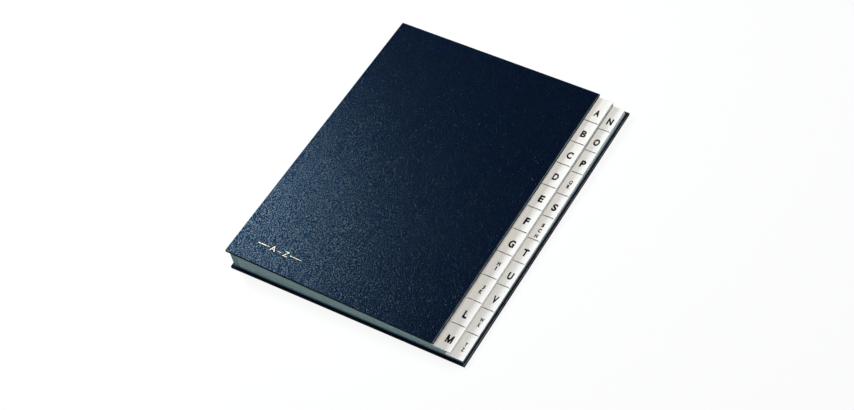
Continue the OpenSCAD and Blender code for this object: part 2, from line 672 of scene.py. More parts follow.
class PaperFibre(Effect):
    """Paper and board: matted fibres, small specks and a soft cloudiness."""

    LONG_WAY, CROSS_WAY = (1.0, 0.16, 1.0), (0.2, 0.9, 0.7)
    SPECK_SCALE = 0.7
    SPECK_RANGE = (0.66, 0.74)
    CLOUD_SCALE = 30.0

    def wire(self, graph: Graph, given: Sockets) -> Sockets:
        """Builds the fibres from two crossed, stretched noises.

        Args:
            graph: the group's nodes.
            given: the group's inputs by name.

        Returns:
            The group's outputs by name.
        """
        place = graph.sized(given["Vector"], given["Fibre"])
        along, across = (
            graph.noise(graph.vector("MULTIPLY", place, way), 1.0) for way in (self.LONG_WAY, self.CROSS_WAY)
        )
        mat = graph.math("MULTIPLY_ADD", across, 0.5, graph.math("MULTIPLY", along, 0.5))
        speck = graph.ramp(graph.noise(place, self.SPECK_SCALE, 1.0), *self.SPECK_RANGE)
        return {"Fibre": mat, "Speck": speck, "Cloud": graph.noise(given["Vector"], self.CLOUD_SCALE)}


class ClothWeave(Effect):
    """Plain weave of a bookcloth: warp over weft, thread by thread."""

    SLUB_SCALE = 900.0
    SLUB = 0.4

    def wire(self, graph: Graph, given: Sockets) -> Sockets:
        """Builds the weave from two crossed waves.

        Args:
            graph: the group's nodes.
            given: the group's inputs by name.

        Returns:
            The group's outputs by name.
        """
        place = graph.axes(given["Vector"])
        turn = graph.math("DIVIDE", math.pi, given["Thread"])
        across = graph.math("ADD", place["X"], place["Z"])
        warp, weft = (graph.math("SINE", graph.math("MULTIPLY", way, turn)) for way in (across, place["Y"]))
        slub = graph.noise(given["Vector"], self.SLUB_SCALE)
        over = graph.math("ABSOLUTE", graph.math("MULTIPLY", warp, weft))
        return {"Height": graph.math("MULTIPLY_ADD", slub, self.SLUB, over), "Tone": slub}


DULL = 0.3  # specular level of paper, ink and cloth
VECTOR_IN = ("Vector", "Vector")
LEATHER_GRAIN = LeatherGrain(
    "LeatherGrain", (VECTOR_IN, ("Cell", "Float")), ("Height", "Crease", "Tone", "Gloss")
)
EDGE_WEAR_HIGHLIGHT = EdgeWear(
    "EdgeWear", (VECTOR_IN, ("Centre", "Vector"), ("Half", "Vector"), ("Reach", "Float")), ("Wear",)
)
PAPER_FIBRE = PaperFibre("PaperFibre", (VECTOR_IN, ("Fibre", "Float")), ("Fibre", "Speck", "Cloud"))
CLOTH_WEAVE = ClothWeave("ClothWeave", (VECTOR_IN, ("Thread", "Float")), ("Height", "Tone"))


@dataclass(frozen=True)
class Finish:
    """A procedural material on one Principled shader."""

    name: str

    def material(self) -> bpy.types.Material:
        """Finds the material, or builds it the first time.

        Returns:
            The material.
        """
        found = bpy.data.materials.get(self.name)
        if found:
            return found
        made = bpy.data.materials.new(self.name)
        graph = Graph.fresh(made)
        shader = graph.node("BsdfPrincipled")
        place = graph.node("TexCoord").outputs["Object"]
        self.dress(graph, shader, place)
        end = graph.node("OutputMaterial")
        graph.join(shader.outputs[0], end.inputs["Surface"])
        return made

    def dress(self, graph: Graph, shader: bpy.types.Node, place: Socket) -> None:
        """Feeds the shader; each finish has its own way."""
        raise NotImplementedError(self.name)

    def bump(self, graph: Graph, shader: bpy.types.Node, height: Feed, strength: float, depth: float) -> None:
        """Feeds a height into the shader's normal.

        Args:
            graph: the material's nodes.
            shader: the Principled shader.
            height: the height pattern.
            strength: share of the bump that is used.
            depth: height of the pattern in millimetres.
        """
        made = graph.node("Bump")
        graph.feed(made, Strength=strength, Distance=depth * MM, Height=height)
        graph.feed(shader, Normal=made.outputs[0])

    def wear_on(self, *objects: Piece) -> None:
        """Gives objects this finish and no other.

        Args:
            objects: mesh objects.
        """
        for obj in objects:
            obj.data.materials.clear()
            obj.data.materials.append(self.material())


@dataclass(frozen=True)
class Leatherette(Finish):
    """Navy leather-grain cover cloth, rubbed paler along the fore edge of its cover, partly wear and partly a
    painted highlight.
    """

    centre: Point = (0.0, 0.0, 0.0)
    half: Point = (0.1, 0.1, 0.0)
    wear_highlight_share: float = 0.0
    navy: Colour = (0.0003, 0.0051, 0.0225)
    deep: Colour = (0.0002, 0.0022, 0.008)
    # pale colour along the fore edge: partly wear, partly a painted highlight on that edge
    rubbed_highlight: Colour = (0.15, 0.162, 0.17)
    cell: float = 1.0
    depth: float = 0.17
    crease_share: float = 0.6
    wear_highlight_reach: float = 1.2
    roughness: float = 0.42
    roughness_spread: float = 0.03
    specular: float = 0.25
    gloss: Colour = (0.0, 0.36, 0.75)
    spots: float = 1.0
    spot_roughness: float = 0.285
    shine: Colour = (0.044, 0.058, 0.071)

    def dress(self, graph: Graph, shader: bpy.types.Node, place: Socket) -> None:
        """Lays grain, creases, shiny spots and edge wear with a painted highlight over the navy.

        Args:
            graph: the material's nodes.
            shader: the Principled shader.
            place: where on the piece a point lies.
        """
        grain = LEATHER_GRAIN.place(graph, Vector=place, Cell=self.cell * MM)
        colour = graph.mix(graph.math("MULTIPLY", grain["Crease"], self.crease_share), self.navy, self.deep)
        spot = graph.math("MULTIPLY", grain["Gloss"], self.spots)
        rough = graph.ramp(spot, 0.0, 1.0, self.roughness, self.spot_roughness)
        uneven = graph.math("SUBTRACT", grain["Tone"], 0.5)
        rough = graph.math("MULTIPLY_ADD", uneven, self.roughness_spread, rough)
        colour = graph.mix(spot, colour, self.shine)
        if self.wear_highlight_share:
            reach = self.wear_highlight_reach * MM
            wear_highlight_mask = EDGE_WEAR_HIGHLIGHT.place(graph, Vector=place, Centre=self.centre, Half=self.half, Reach=reach)
            wear_highlight_mix = graph.math("MULTIPLY", wear_highlight_mask["Wear"], self.wear_highlight_share)
            colour = graph.mix(wear_highlight_mix, colour, self.rubbed_highlight)
            spot = graph.math("MULTIPLY", spot, graph.math("SUBTRACT", 1.0, wear_highlight_mix))
        graph.feed(shader, Base_Color=colour, Roughness=rough, Metallic=spot)
        graph.feed(shader, Specular_IOR_Level=self.specular, Specular_Tint=self.gloss)
        self.bump(graph, shader, grain["Height"], 1.0, self.depth)


@dataclass(frozen=True)
class Stock(Finish):
    """Paper or board in one colour, with fibres, specks and clouds."""

    colour: Colour = (0.5, 0.5, 0.5)
    shade: Colour = (0.4, 0.4, 0.4)
    speck: Colour = (0.3, 0.3, 0.3)
    fibre: float = 0.5
    roughness: float = 0.85
    depth: float = 0.03

    FIBRE_RANGE = (0.35, 0.65)
    SPECK_SHARE = 0.5
    ROUGHNESS_SPREAD = 0.12
    BUMP_SHARE = 0.35

    def dress(self, graph: Graph, shader: bpy.types.Node, place: Socket) -> None:
        """Lays fibres, specks and clouds over the colour.

        Args:
            graph: the material's nodes.
            shader: the Principled shader.
            place: where on the piece a point lies.
        """
        paper = PAPER_FIBRE.place(graph, Vector=place, Fibre=self.fibre * MM)
        colour = graph.mix(graph.ramp(paper["Fibre"], *self.FIBRE_RANGE), self.shade, self.colour)
        colour = graph.mix(graph.math("MULTIPLY", paper["Speck"], self.SPECK_SHARE), colour, self.speck)
        colour = self.tint(graph, colour, place)
        spread = self.ROUGHNESS_SPREAD
        rough = graph.math("MULTIPLY_ADD", paper["Cloud"], spread, self.roughness - spread / 2)
        graph.feed(shader, Base_Color=colour, Roughness=rough, Specular_IOR_Level=DULL)
        self.bump(graph, shader, paper["Fibre"], self.BUMP_SHARE, self.depth)

    def tint(self, graph: Graph, colour: Socket, place: Socket) -> Socket:
        """Leaves the colour as it is; a stock with parts of another tone changes it here."""
        return colour


@dataclass(frozen=True)
class Card(Stock):
    """Blue-grey index card with painted shade along its glued spine margin, and cut edges of another tone
    with painted light and shade at the tab.
    """

    # painted light and shade on the upright cut edges at the tab, lighter towards the tail and darker towards
    # the head
    tip_light_tail: Colour = (0.5, 0.5, 0.48)
    tip_light_head: Colour = (0.2, 0.2, 0.19)
    edge_tone: float = 1.0
    # painted shade over the spine margin, where the folded guards lie in shadow
    margin: Colour = (0.05, 0.09, 0.1)
    margin_shade_share: float = 0.75

    FOLD_SOFT = (-1.6, 0.2)
    TAB_SOFT = (-0.4, 0.4)
    FOOT_SOFT = (0.2, 1.0)
    TIP_LIGHT_SPAN = (40.0, 290.0)
    UPRIGHT = (0.3, 0.6)

    def tint(self, graph: Graph, colour: Socket, place: Socket) -> Socket:
        """Paints shade over the folded margin, changes the upright cut edges, and paints light and shade on
        them, most of all at the tab.

        Args:
            graph: the material's nodes.
            colour: the colour of the stock.
            place: where on the piece a point lies.

        Returns:
            The changed colour.
        """
        along, facing = graph.axes(place), graph.axes(graph.node("TexCoord").outputs["Normal"])
        start, end = (frame_x(PLAN.guard_x1 + v) for v in self.FOLD_SOFT)
        margin_shade = graph.ramp(along["X"], start, end, self.margin_shade_share, 0.0)
        headward = graph.ramp(along["Y"], *(frame_y(y) for y in self.TIP_LIGHT_SPAN))
        tip_light = graph.mix(headward, self.tip_light_tail, self.tip_light_head)
        at_tab = graph.ramp(along["X"], *(frame_x(PLAN.front_w + v) for v in self.TAB_SOFT))
        off_foot = graph.ramp(along["Y"], *(frame_y(PLAN.leaf_tail + v) for v in self.FOOT_SOFT))
        upright = graph.ramp(graph.math("ABSOLUTE", facing["Z"]), *self.UPRIGHT, 1.0, 0.0)
        # where the painted light and shade on the cut edges at the tab is laid
        tip_light_mask = graph.math("MULTIPLY", graph.math("MULTIPLY", at_tab, off_foot), upright)
        colour = graph.mix(upright, colour, graph.vector("MULTIPLY", colour, (self.edge_tone,) * 3))
        return graph.mix(tip_light_mask, graph.mix(margin_shade, colour, self.margin), tip_light)


@dataclass(frozen=True)
class Laminate(Stock):
    """White label under a clear film, with painted shadow over its inner side, where its cover or the higher
    column shades it.
    """

    inner_x: float = 238.0
    outer_x: float = 253.5
    shade_clear_from: float = 0.5
    shade_clear_to: float = 0.9
    # painted shadow colour over the label's inner side
    painted_shade_grey: Colour = (0.85, 0.815, 0.755)
    film: float = 0.25
    film_roughness: float = 0.2

    def dress(self, graph: Graph, shader: bpy.types.Node, place: Socket) -> None:
        """Adds the clear film to the paper."""
        super().dress(graph, shader, place)
        graph.feed(shader, Coat_Weight=self.film, Coat_Roughness=self.film_roughness)

    def tint(self, graph: Graph, colour: Socket, place: Socket) -> Socket:
        """Paints shadow over the inner part of the label, by its place along X.

        Args:
            graph: the material's nodes.
            colour: the colour of the stock.
            place: where on the piece a point lies.

        Returns:
            The changed colour.
        """
        width = self.outer_x - self.inner_x
        start, end = (frame_x(self.inner_x + share * width) for share in (self.shade_clear_from, self.shade_clear_to))
        return graph.mix(graph.ramp(graph.axes(place)["X"], start, end, 1.0, 0.0), colour, self.painted_shade_grey)


@dataclass(frozen=True)
class Ink(Finish):
    """Black printing ink, a little open where the paper's tooth shows through."""

    black: Colour = (0.004, 0.004, 0.005)
    thin: Colour = (0.015, 0.015, 0.016)
    fibre: float = 0.35
    open_range: tuple[float, float] = (0.5, 0.72)
    roughness: float = 0.4
    roughness_spread: float = 0.2

    def dress(self, graph: Graph, shader: bpy.types.Node, place: Socket) -> None:
        """Mottles the black with the paper's fibres.

        Args:
            graph: the material's nodes.
            shader: the Principled shader.
            place: where on the piece a point lies.
        """
        paper = PAPER_FIBRE.place(graph, Vector=place, Fibre=self.fibre * MM)
        colour = graph.mix(graph.ramp(paper["Fibre"], *self.open_range), self.black, self.thin)
        rough = graph.math("MULTIPLY_ADD", paper["Cloud"], self.roughness_spread, self.roughness)
        graph.feed(shader, Base_Color=colour, Roughness=rough, Specular_IOR_Level=DULL)


@dataclass(frozen=True)
class Foil(Finish):
    """Gold foil stamped into leather grain."""

    gold: Colour = (0.76, 0.68, 0.48)
    dull: Colour = (0.4, 0.27, 0.11)
    cell: float = 1.5
    crease_share: float = 0.7
    roughness: float = 0.32
    roughness_spread: float = 0.3
    metal: float = 0.85
    relief: float = 0.5
    depth: float = 0.12

    def dress(self, graph: Graph, shader: bpy.types.Node, place: Socket) -> None:
        """Dulls the gold in the creases of the grain under it.

        Args:
            graph: the material's nodes.
            shader: the Principled shader.
            place: where on the piece a point lies.
        """
        grain = LEATHER_GRAIN.place(graph, Vector=place, Cell=self.cell * MM)
        colour = graph.mix(graph.math("MULTIPLY", grain["Crease"], self.crease_share), self.gold, self.dull)
        rough = graph.math("MULTIPLY_ADD", grain["Crease"], self.roughness_spread, self.roughness)
        graph.feed(shader, Base_Color=colour, Roughness=rough, Metallic=self.metal)
        self.bump(graph, shader, grain["Height"], self.relief, self.depth)


@dataclass(frozen=True)
class Bookcloth(Finish):
    """Woven spine cloth in a night blue."""

    blue: Colour = (0.003, 0.009, 0.021)
    lint: Colour = (0.014, 0.025, 0.043)
    thread: float = 0.42
    height_range: tuple[float, float] = (0.35, 1.2)
    lint_share: float = 0.55
    roughness: float = 0.62
    roughness_spread: float = 0.2
    sheen: float = 0.1
    sheen_roughness: float = 0.5
    relief: float = 0.6
    depth: float = 0.12

    def dress(self, graph: Graph, shader: bpy.types.Node, place: Socket) -> None:
        """Lays the weave over the blue.

        Args:
            graph: the material's nodes.
            shader: the Principled shader.
            place: where on the piece a point lies.
        """
        weave = CLOTH_WEAVE.place(graph, Vector=place, Thread=self.thread * MM)
        high = graph.ramp(weave["Height"], *self.height_range)
        colour = graph.mix(graph.math("MULTIPLY", high, self.lint_share), self.blue, self.lint)
        rough = graph.math("MULTIPLY_ADD", weave["Tone"], self.roughness_spread, self.roughness)
        graph.feed(shader, Base_Color=colour, Roughness=rough, Specular_IOR_Level=DULL)
        graph.feed(shader, Sheen_Weight=self.sheen, Sheen_Roughness=self.sheen_roughness)
        self.bump(graph, shader, weave["Height"], self.relief, self.depth)


def cover_finish(cover: Cover) -> Leatherette:
    """The leatherette of one cover, with its wear and painted highlight where that cover's fore edge is.

    Args:
        cover: which cover.

    Returns:
        The finish.
    """
    left, right = -PLAN.back_w, PLAN.back_w
    if cover is Cover.FRONT:
        right = PLAN.lined_t * math.sin(PLAN.tilt) + PLAN.front_w * math.cos(PLAN.tilt)
    middle = into_frame() @ Vector(((left + right) / 2, PLAN.back_l / 2, 0.0))
    half = ((right - left) / 2 * MM, PLAN.back_l * MM, 0.0)
    return Leatherette(f"leatherette_{cover.value}", centre=tuple(middle), half=half, wear_highlight_share=1.0)


GREYBOARD = Stock("greyboard", (0.3, 0.27, 0.22), (0.22, 0.2, 0.165), (0.1, 0.09, 0.08), 0.9, 0.9, 0.06)
LINING = Stock("lining_paper", (0.1, 0.15, 0.18), (0.085, 0.13, 0.155), (0.15, 0.2, 0.22), 0.5, 0.8, 0.03)
BLUE_GREY: tuple[Colour, Colour, Colour] = ((0.2, 0.295, 0.305), (0.175, 0.265, 0.275), (0.13, 0.18, 0.19))
# painted light and shade on each column's upright cut edges at the tab: tail colour, then head colour
TIP_LIGHT_AND_SHADE: dict[Column, tuple[Colour, Colour]] = {
    Column.LEFT: ((0.5, 0.48, 0.45), (0.2, 0.195, 0.185)),
    Column.RIGHT: ((0.46, 0.46, 0.45), (0.3, 0.36, 0.37)),
}
EDGE_TONES = (1.0, 0.72, 1.22, 0.86)


def card_finish(column: Column, tone: int) -> Card:
    """The card of one leaf.

    Args:
        column: the column that its tab stands in.
        tone: which of the block's tones its cut edges have.

    Returns:
        The finish.
    """
    name = f"index_card_{column.value}_{tone}"
    tip_light_tail, tip_light_head = TIP_LIGHT_AND_SHADE[column]
    return Card(name, *BLUE_GREY, 0.45, 0.82, 0.03, tip_light_tail, tip_light_head, EDGE_TONES[tone])


CARD_ORDER = (0, 1, 2, 2, 0, 3, 1, 0, 2, 3, 0, 1, 2, 0, 3, 3, 1, 2, 0, 1, 3, 2)
WHITE: tuple[Colour, Colour, Colour] = ((0.945, 0.935, 0.9), (0.92, 0.907, 0.87), (0.8, 0.78, 0.74))
LEFT_LABEL = Laminate("label_left", *WHITE, 0.4, 0.42, 0.01, PLAN.front_w, PLAN.left_edge)
LABELS = {
    Column.LEFT: LEFT_LABEL,
    Column.RIGHT: replace(
        LEFT_LABEL,
        name="label_right",
        inner_x=PLAN.left_edge,
        outer_x=PLAN.right_edge,
        # the right column's painted shadow from the higher left column starts and ends nearer its inner side
        shade_clear_from=0.15,
        shade_clear_to=0.5,
    ),
}
INK = Ink("printing_ink")
# ink of the dark rule at each tab's lower end: a painted shadow of the step to the next tab
STEP_SHADOW_INK = Ink("rule_ink", (0.036, 0.03, 0.024), (0.07, 0.06, 0.05))
# darker navy on the back cover's upward faces: painted shade where its lip lies under the leaf block
LIP_SHADE_LEATHER = replace(
    cover_finish(Cover.BACK),
    name="leatherette_lip",
    navy=(0.0002, 0.0014, 0.0045),
    specular=0.1,
    spots=0.04,
    wear_highlight_share=0.8,
)
# near-black navy on the upright edge faces of both covers: painted shade
EDGE_SHADE_LEATHER = Leatherette(
    "leatherette_edge",
    navy=(0.0001, 0.001, 0.003),
    deep=(0.0001, 0.0006, 0.0018),
    roughness=0.7,
    specular=0.05,
    spots=0.01,
)
FOIL = Foil("gold_foil")
CLOTH = Bookcloth("spine_bookcloth")


@dataclass
class CoverWrap:
    """The leatherette round one cover's board: outside face, rounded edges and mitred turn-ins."""

    cover: Cover
    wide: float
    long: float
    corner_r: float = 0.6
    edge_r: float = 0.5
    mitre_gap: float = 0.3
    corner_cut: float = 27.6
    corner_steps: int = 5
    edge_steps: int = 4
    flat_from: float = 0.99
    steep: float = 0.3

    @property
    def name(self) -> str:
        """Name of the CAD node that the wrap stands for."""
        return f"{self.cover.name.lower()}_leatherette"

    @property
    def flat(self) -> tuple[float, float]:
        """The cut sheet in metres: the outside face with two edges and two turn-ins each way."""
        folds = 2 * (PLAN.cover_t + PLAN.turn_in_w)
        return (self.wide + folds) * MM, (self.long + folds) * MM

    def build(self) -> Piece:
        """Models the wrap as a hollow slab, open inside between its turn-ins.

        Returns:
            The wrap, in the frame.
        """
        low = 0.0 if self.cover is Cover.BACK else PLAN.lining_t
        inside_up = 1.0 if self.cover is Cover.BACK else -1.0
        obj = start_box(f"{self.name}_wrap", (0.0, 0.0, low), (self.wide, self.long, low + PLAN.cover_t))
        with Bench(obj) as bench:
            bench.edges(is_upright)
            bpy.ops.mesh.bevel(offset=self.corner_r, segments=self.corner_steps, affect="EDGES")
            bench.edges(lambda e: sum(abs(f.normal.z) > LEVEL for f in e.link_faces) == 1)
            bpy.ops.mesh.bevel(offset=self.edge_r, segments=self.edge_steps, affect="EDGES")
            self.open_window(bench, inside_up)
        shell = obj.modifiers.new("leather", "SOLIDIFY")
        shell.thickness, shell.offset, shell.use_even_offset = PLAN.leather_t, -1.0, True
        only(obj)
        bpy.ops.object.modifier_apply(modifier=shell.name)
        rounded(obj)
        settle(obj, self.place())
        return obj

    def open_window(self, bench: Bench, inside_up: float) -> None:
        """Cuts the inside face back to four turn-ins with an open mitre at each corner.

        Args:
            bench: the edit session on the slab.
            inside_up: 1 where the inside face looks up, or -1 where it looks down.
        """
        for x, y, nx, ny in self.cuts():
            bench.faces(lambda f: f.normal.z * inside_up > self.flat_from)
            bench.cut((x, y, 0.0), (nx, ny, 0.0))
        level = self.flat_from
        bench.faces(lambda f: f.normal.z * inside_up > level and self.is_open(f.calc_center_median()))
        bpy.ops.mesh.delete(type="FACE")

    def cuts(self) -> Iterator[tuple[float, float, float, float]]:
        """Finds the planes that part the turn-ins.

        Yields:
            A point and a normal in plan for each plane.
        """
        turn = PLAN.turn_in_w
        for x in (turn, self.wide - turn):
            yield x, 0.0, 1.0, 0.0
        for y in (turn, self.long - turn):
            yield 0.0, y, 0.0, 1.0
        shift = self.mitre_gap / 2 / MITRE
        for x, y, slope in ((0, 0, -1), (self.wide, self.long, -1), (self.wide, 0, 1), (0, self.long, 1)):
            for side in (-shift, shift):
                yield x + side, y, MITRE, MITRE * slope

    def is_open(self, point: Vector) -> bool:
        """Whether a point of the inside face is in the window or in a mitre."""
        x, y = min(point.x, self.wide - point.x), min(point.y, self.long - point.y)
        return min(x, y) > PLAN.turn_in_w or abs(x - y) < self.mitre_gap * MITRE

    def place(self) -> Matrix:
        """Finds where the wrap belongs.

        Returns:
            Matrix from the wrap's own millimetres to the frame.
        """
        if self.cover is Cover.BACK:
            return into_frame()
        return into_frame(Matrix.Rotation(PLAN.tilt, 4, "Y"), (0.0, PLAN.front_tail, PLAN.front_z(0.0)))

    def dress(self, obj: Piece) -> None:
        """Gives the wrap its leatherette, with painted shade on its edge faces, and its place in the frame's
        bodies.

        Args:
            obj: the wrap.
        """
        cover_finish(self.cover).wear_on(obj)
        obj.data.materials.append(EDGE_SHADE_LEATHER.material())
        if self.cover is Cover.BACK:
            obj.data.materials.append(LIP_SHADE_LEATHER.material())
        for face in obj.data.polygons:
            # upright edge faces take the near-black navy of painted shade
            if abs(face.normal.z) < self.steep:
                face.material_index = 1
            # the back cover's upward faces take the darker navy of painted shade
            elif self.cover is Cover.BACK and face.normal.z > 0.0:
                face.material_index = 2
        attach(obj, self.cover.value)
        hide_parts(self.name)
        board = self.name.replace("leatherette", "board")
        LOG.info("%s rides on %s", obj.name, self.cover.value)


@dataclass
class SpineCloth:
    """A flange glued inside each cover, and a web of strips between neighbouring leaves."""

    lip: float = 0.5
    rib: float = 0.1
    fold_r: float = 0.3
    ease: float = 0.12
    hem: float = 0.12
    margin: float = 0.34
    bend_inset: float = 0.06

    def guard_z(self, leaf: int) -> float:
        """Middle of a leaf's folded margin, where the cloth is glued to it."""
        return PLAN.leaf_z(leaf, PLAN.leaf_x0) + PLAN.guard_t / 2

    def build_strip(self) -> Piece:
        """Models one strip, a millimetre high, with a shallow rib along its middle.

        Returns:
            The strip, in its own millimetres.
        """
        obj = start_box("spine_strip", (0.0, PLAN.leaf_tail, 0.0), (PLAN.spine_t, PLAN.leaf_head, 1.0))
        with Bench(obj) as bench:
            for z in (self.hem, self.margin, 1.0 - self.margin, 1.0 - self.hem):
                bench.faces(lambda f: True)
                bench.cut((0.0, 0.0, z), (0.0, 0.0, 1.0))
            between = (self.hem + self.margin) / 2
            bench.verts(lambda v: between < v.co.z < 1.0 - between)
            bpy.ops.transform.translate(value=(-self.rib, 0.0, 0.0))
        rounded(obj, degrees=60.0)
        return obj

    def build_flange(self, cover: Cover) -> Piece:
        """Models one flange with its folded lip.

        Args:
            cover: the cover that it is glued into.

        Returns:
            The flange, in the frame.
        """
        reach = PLAN.flange_x1 - PLAN.spine_x
        name = "spine_flange_lower" if cover is Cover.BACK else "spine_flange_upper"
        obj = start_box(name, (0.0, PLAN.leaf_tail, 0.0), (reach, PLAN.leaf_head, PLAN.spine_t))
        with Bench(obj) as bench:
            bench.faces(lambda f: True)
            bench.cut((PLAN.spine_t, 0.0, 0.0), (1.0, 0.0, 0.0))
            bench.faces(lambda f: f.normal.z > LEVEL and f.calc_center_median().x < PLAN.spine_t)
            rise = (0.0, 0.0, self.lip - PLAN.spine_t)
            bpy.ops.mesh.extrude_region_move(TRANSFORM_OT_translate={"value": rise})
            bench.edges(lambda e: all(abs(v.co.x) + abs(v.co.z) < TOUCH for v in e.verts))
            bpy.ops.mesh.bevel(offset=self.fold_r, segments=4, affect="EDGES")
            bench.edges(lambda e: all(v.co.x > reach - TOUCH and v.co.z > TOUCH for v in e.verts))
            bpy.ops.mesh.bevel(offset=self.ease, segments=2, affect="EDGES")
        if cover is Cover.BACK:
            move = into_frame(place=(PLAN.spine_x, 0.0, PLAN.lined_t))
        else:
            turn = Matrix.Rotation(PLAN.tilt, 4, "Y") @ Matrix.Scale(-1.0, 4, (0.0, 0.0, 1.0))
            move = into_frame(turn, (PLAN.spine_x, 0.0, PLAN.front_z(PLAN.spine_x)))
        settle(obj, move)
        clean_normals(obj, merge=0.0)
        rounded(obj)
        return obj

    def levels(self) -> list[tuple[str, float]]:
        """Finds where the cloth is glued, from the back cover up.

        Returns:
            Each body of the chain with the height of the cloth's hold on it.
        """
        count = len(PLAN.letters)
        chain = [(Cover.BACK.value, PLAN.lined_t + self.lip)]
        chain += [(leaf_body(leaf), self.guard_z(leaf)) for leaf in reversed(range(count))]
        return chain + [(Cover.FRONT.value, PLAN.front_z(PLAN.spine_x) - self.lip)]

    def build(self) -> None:
        """Makes the flanges and copies the strip between every two neighbours."""
        for cover, node in ((Cover.BACK, "spine_cloth_lower"), (Cover.FRONT, "spine_cloth_upper")):
            flange = self.build_flange(cover)
            CLOTH.wear_on(flange)
            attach(flange, cover.value)
            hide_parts(node)
            lining = f"{cover.name.lower()}_lining"
            LOG.info("%s rides on %s", flange.name, cover.value)
        pattern = self.build_strip()
        CLOTH.wear_on(pattern)
        chain = self.levels()
        for (below, low), (above, high) in zip(chain, chain[1:]):
            self.join(copy_piece(pattern, f"spine_strip_{above}"), below, above, low, high)
        bpy.data.objects.remove(pattern)

    def join(self, strip: Piece, below: str, above: str, low: float, high: float) -> None:
        """Puts a strip between two bodies.

        Args:
            strip: a copy of the pattern strip.
            below: body that its lower edge is glued to.
            above: body that its upper edge is glued to.
            low: height of the lower edge.
            high: height of the upper edge.
        """
        tall = Matrix.Scale(high - low, 4, (0.0, 0.0, 1.0))
        settle(strip, into_frame(tall, (PLAN.spine_x, 0.0, low)))
        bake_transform(strip)
        LOG.info("%s bends between %s and %s", strip.name, below, above)


WIDTHS = {
    "A": 0.64, "B": 0.63, "C": 0.66, "D": 0.64, "E": 0.57, "F": 0.54, "G": 0.69, "H": 0.66,
    "J": 0.5, "K": 0.66, "L": 0.5, "N": 0.65, "O": 0.7, "P": 0.59, "Q": 0.72, "R": 0.64,
    "S": 0.59, "T": 0.63, "U": 0.6, "V": 0.62, "W": 0.9, "X": 0.64, "Y": 0.63, "Z": 0.58,
}


@dataclass
class Lettering:
    """Sets bold, narrow capitals as thin raised print."""

    cap_share: float = 0.682
    weight: float = 0.045
    thick: float = 0.02
    curve_steps: int = 6
    m_half: float = 0.39
    m_stem: float = 0.17
    m_slant: float = 0.2

    def glyphs(self, words: str, cap: float) -> Piece:
        """Makes a line of capitals, centred on its origin.

        Args:
            words: what is set.
            cap: height of a capital in millimetres.

        Returns:
            The letters as a mesh, flat in plan.
        """
        if words == "M":
            return self.built_m(cap)
        made = self.set_type(words, cap)
        if words in WIDTHS:
            across = [v.co.x for v in made.data.vertices]
            left, right = min(across), max(across)
            narrow = Matrix.Scale(WIDTHS[words] * cap / (right - left), 4, (1.0, 0.0, 0.0))
            made.data.transform(narrow @ Matrix.Translation((-(left + right) / 2, 0.0, 0.0)))
        if words == "J":
            low = min(v.co.y for v in made.data.vertices)
            squash = Matrix.Scale(cap / (cap / 2 - low), 4, (0.0, 1.0, 0.0))
            top = Matrix.Translation((0.0, cap / 2, 0.0))
            made.data.transform(top @ squash @ top.inverted())
        return made

    def set_type(self, words: str, cap: float) -> Piece:
        """Sets a line in the plain sans face, made bolder by its outline.

        Args:
            words: what is set.
            cap: height of a capital in millimetres.

        Returns:
            The letters as a mesh, flat in plan.
        """
        bpy.ops.object.select_all(action="DESELECT")
        bpy.ops.object.text_add()
        text = bpy.context.active_object
        text.data.body = words
        text.data.size = cap * (1.0 - 2.0 * self.weight) / self.cap_share
        text.data.align_x, text.data.align_y = "CENTER", "BOTTOM_BASELINE"
        text.data.offset = self.weight * cap
        text.data.extrude = self.thick
        text.data.resolution_u = self.curve_steps
        only(text)
        bpy.ops.object.convert(target="MESH")
        made = bpy.context.active_object
        made.data.transform(Matrix.Translation((0.0, (self.weight - 0.5) * cap, 0.0)))
        clean_normals(made)
        return made

    def built_m(self, cap: float) -> Piece:
        """Builds an M with upright stems and slanted strokes that meet at the foot.

        Args:
            cap: height of the letter in millimetres.

        Returns:
            The letter as a mesh, flat in plan.
        """
        tall = cap / 2
        half, stem, slant = (share * cap for share in (self.m_half, self.m_stem, self.m_slant))
        lean = half - slant / 2
        crotch = tall - 2.0 * tall * stem / lean
        notch = tall - 2.0 * tall * (half - slant) / lean
        side = [(slant / 2, -tall), (half - stem, crotch), (half - stem, -tall), (half, -tall), (half, tall)]
        side.append((half - slant, tall))
        outline = side + [(0.0, notch)] + [(-x, y) for x, y in reversed(side)]
        bpy.ops.object.select_all(action="DESELECT")
        bpy.ops.mesh.primitive_circle_add(vertices=len(outline), fill_type="NGON")
        made = bpy.context.active_object
        for vertex, (x, y) in zip(made.data.vertices, outline):
            vertex.co = (x, y, -self.thick)
        with Bench(made) as bench:
            bench.faces(lambda f: True)
            rise = (0.0, 0.0, 2.0 * self.thick)
            bpy.ops.mesh.extrude_region_move(TRANSFORM_OT_translate={"value": rise})
        clean_normals(made)
        return made


